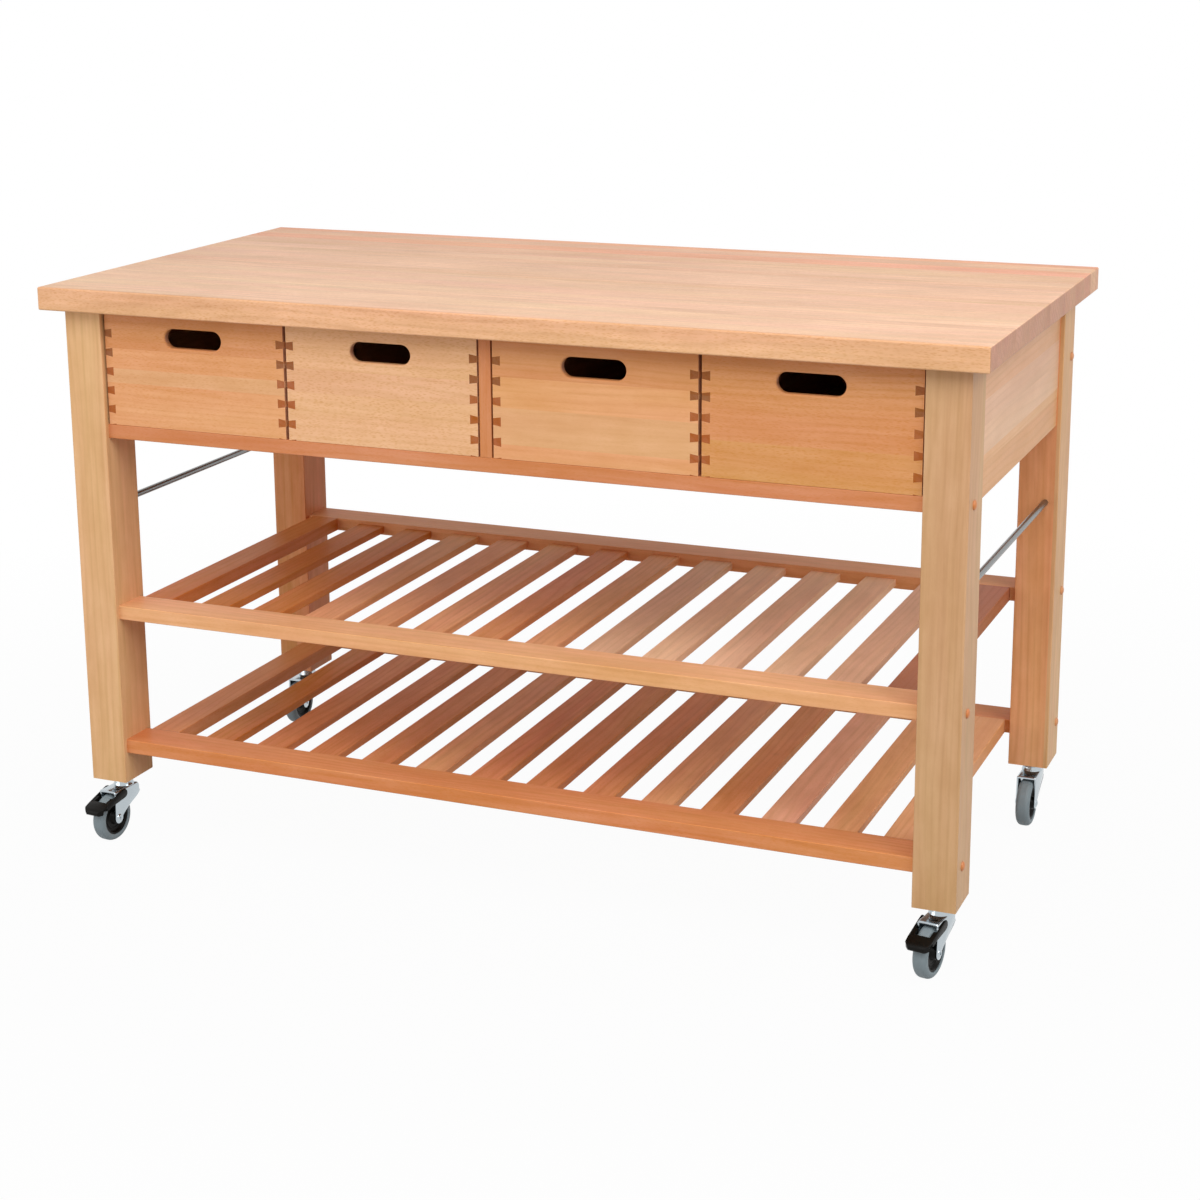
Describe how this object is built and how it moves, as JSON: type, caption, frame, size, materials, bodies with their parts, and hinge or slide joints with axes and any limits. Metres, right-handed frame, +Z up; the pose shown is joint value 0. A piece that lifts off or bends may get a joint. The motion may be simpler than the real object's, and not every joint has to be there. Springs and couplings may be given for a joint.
{
  "type": "kitchen cart",
  "caption": "Beech kitchen cart with a thick worktop, dovetailed drawers with hand slots, slatted shelves, hanging rods at the ends and swivel casters.",
  "frame": {"origin": "on the floor under the middle of the worktop", "axes": "+X to the right seen from the drawer side, +Y to the back, +Z up; the drawers open towards -Y"},
  "size_m": [1.45, 0.7483, 0.89],
  "materials": {
    "worktop_wood": "oiled",
    "leg_wood": "oiled",
    "panel_wood": "oiled",
    "drawer_wood": "oiled",
    "bottom_wood": "oiled",
    "rail_wood": "oiled",
    "slat_wood": "oiled",
    "inner_wood": "oiled",
    "plug_wood": "oiled",
    "rod_steel": "satin",
    "screw_steel": "zinc plated",
    "zinc": "bright zinc plated",
    "hub_plastic": "matte",
    "pedal_plastic": "matte",
    "tyre_rubber": "matte"
  },
  "bodies": {
    "cart_frame": {"worktop": "worktop_wood", "leg_front_left": "leg_wood", "leg_front_right": "leg_wood", "leg_back_left": "leg_wood", "leg_back_right": "leg_wood", "end_panel_left": "panel_wood", "hanging_rod_left": "rod_steel", "end_panel_right": "panel_wood", "hanging_rod_right": "rod_steel", "back_panel": "panel_wood", "drawer_rail": "rail_wood", "drawer_divider": "rail_wood", "drawer_runners": "inner_wood", "worktop_cleats": "inner_wood", "screw_plugs": "plug_wood", "leg_screws": "screw_steel", "caster_stems": "zinc", "upper_front_rail": "rail_wood", "upper_back_rail": "rail_wood", "upper_end_rails": "rail_wood", "upper_slats": "slat_wood", "lower_front_rail": "rail_wood", "lower_back_rail": "rail_wood", "lower_end_rails": "rail_wood", "lower_slats": "slat_wood"},
    "drawer_1": {"drawer_1_front": "drawer_wood", "drawer_1_back": "drawer_wood", "drawer_1_sides": "drawer_wood", "drawer_1_bottom": "bottom_wood"},
    "drawer_2": {"drawer_2_front": "drawer_wood", "drawer_2_back": "drawer_wood", "drawer_2_sides": "drawer_wood", "drawer_2_bottom": "bottom_wood"},
    "drawer_3": {"drawer_3_front": "drawer_wood", "drawer_3_back": "drawer_wood", "drawer_3_sides": "drawer_wood", "drawer_3_bottom": "bottom_wood"},
    "drawer_4": {"drawer_4_front": "drawer_wood", "drawer_4_back": "drawer_wood", "drawer_4_sides": "drawer_wood", "drawer_4_bottom": "bottom_wood"},
    "caster_front_left": {"fork_front_left": "zinc", "axle_front_left": "zinc"},
    "wheel_front_left": {"hub_front_left": "hub_plastic", "tyre_front_left": "tyre_rubber"},
    "pedal_left": {"brake_pedal_left": "pedal_plastic"},
    "caster_front_right": {"fork_front_right": "zinc", "axle_front_right": "zinc"},
    "wheel_front_right": {"hub_front_right": "hub_plastic", "tyre_front_right": "tyre_rubber"},
    "pedal_right": {"brake_pedal_right": "pedal_plastic"},
    "caster_back_left": {"fork_back_left": "zinc", "axle_back_left": "zinc"},
    "wheel_back_left": {"hub_back_left": "hub_plastic", "tyre_back_left": "tyre_rubber"},
    "caster_back_right": {"fork_back_right": "zinc", "axle_back_right": "zinc"},
    "wheel_back_right": {"hub_back_right": "hub_plastic", "tyre_back_right": "tyre_rubber"}
  },
  "joints": [
    {"name": "drawer_1_slide", "type": "slide", "parent": "cart_frame", "child": "drawer_1", "axis": [0, -1, 0], "range_m": [0, 0.42]},
    {"name": "drawer_2_slide", "type": "slide", "parent": "cart_frame", "child": "drawer_2", "axis": [0, -1, 0], "range_m": [0, 0.42]},
    {"name": "drawer_3_slide", "type": "slide", "parent": "cart_frame", "child": "drawer_3", "axis": [0, -1, 0], "range_m": [0, 0.42]},
    {"name": "drawer_4_slide", "type": "slide", "parent": "cart_frame", "child": "drawer_4", "axis": [0, -1, 0], "range_m": [0, 0.42]},
    {"name": "caster_front_left_swivel", "type": "hinge", "parent": "cart_frame", "child": "caster_front_left", "pos_m": [-0.666, -0.2985, 0.1], "axis": [0, 0, 1], "continuous": true},
    {"name": "wheel_front_left_spin", "type": "hinge", "parent": "caster_front_left", "child": "wheel_front_left", "pos_m": [-0.66896, -0.33237, 0.0375], "axis": [0.9962, -0.0872, 0], "continuous": true},
    {"name": "pedal_left_press", "type": "hinge", "parent": "caster_front_left", "child": "pedal_left", "pos_m": [-0.66781, -0.31917, 0.0744], "axis": [0.9962, -0.0872, 0], "range_deg": [0, 6]},
    {"name": "caster_front_right_swivel", "type": "hinge", "parent": "cart_frame", "child": "caster_front_right", "pos_m": [0.666, -0.2985, 0.1], "axis": [0, 0, 1], "continuous": true},
    {"name": "wheel_front_right_spin", "type": "hinge", "parent": "caster_front_right", "child": "wheel_front_right", "pos_m": [0.66068, -0.33208, 0.0375], "axis": [0.9877, -0.1564, 0], "continuous": true},
    {"name": "pedal_right_press", "type": "hinge", "parent": "caster_front_right", "child": "pedal_right", "pos_m": [0.66275, -0.319, 0.0744], "axis": [0.9877, -0.1564, 0], "range_deg": [0, 6]},
    {"name": "caster_back_left_swivel", "type": "hinge", "parent": "cart_frame", "child": "caster_back_left", "pos_m": [-0.666, 0.2985, 0.1], "axis": [0, 0, 1], "continuous": true},
    {"name": "wheel_back_left_spin", "type": "hinge", "parent": "caster_back_left", "child": "wheel_back_left", "pos_m": [-0.666, 0.2645, 0.0375], "axis": [1, 0, 0], "continuous": true},
    {"name": "caster_back_right_swivel", "type": "hinge", "parent": "cart_frame", "child": "caster_back_right", "pos_m": [0.666, 0.2985, 0.1], "axis": [0, 0, 1], "continuous": true},
    {"name": "wheel_back_right_spin", "type": "hinge", "parent": "caster_back_right", "child": "wheel_back_right", "pos_m": [0.666, 0.2645, 0.0375], "axis": [1, 0, 0], "continuous": true}
  ]
}
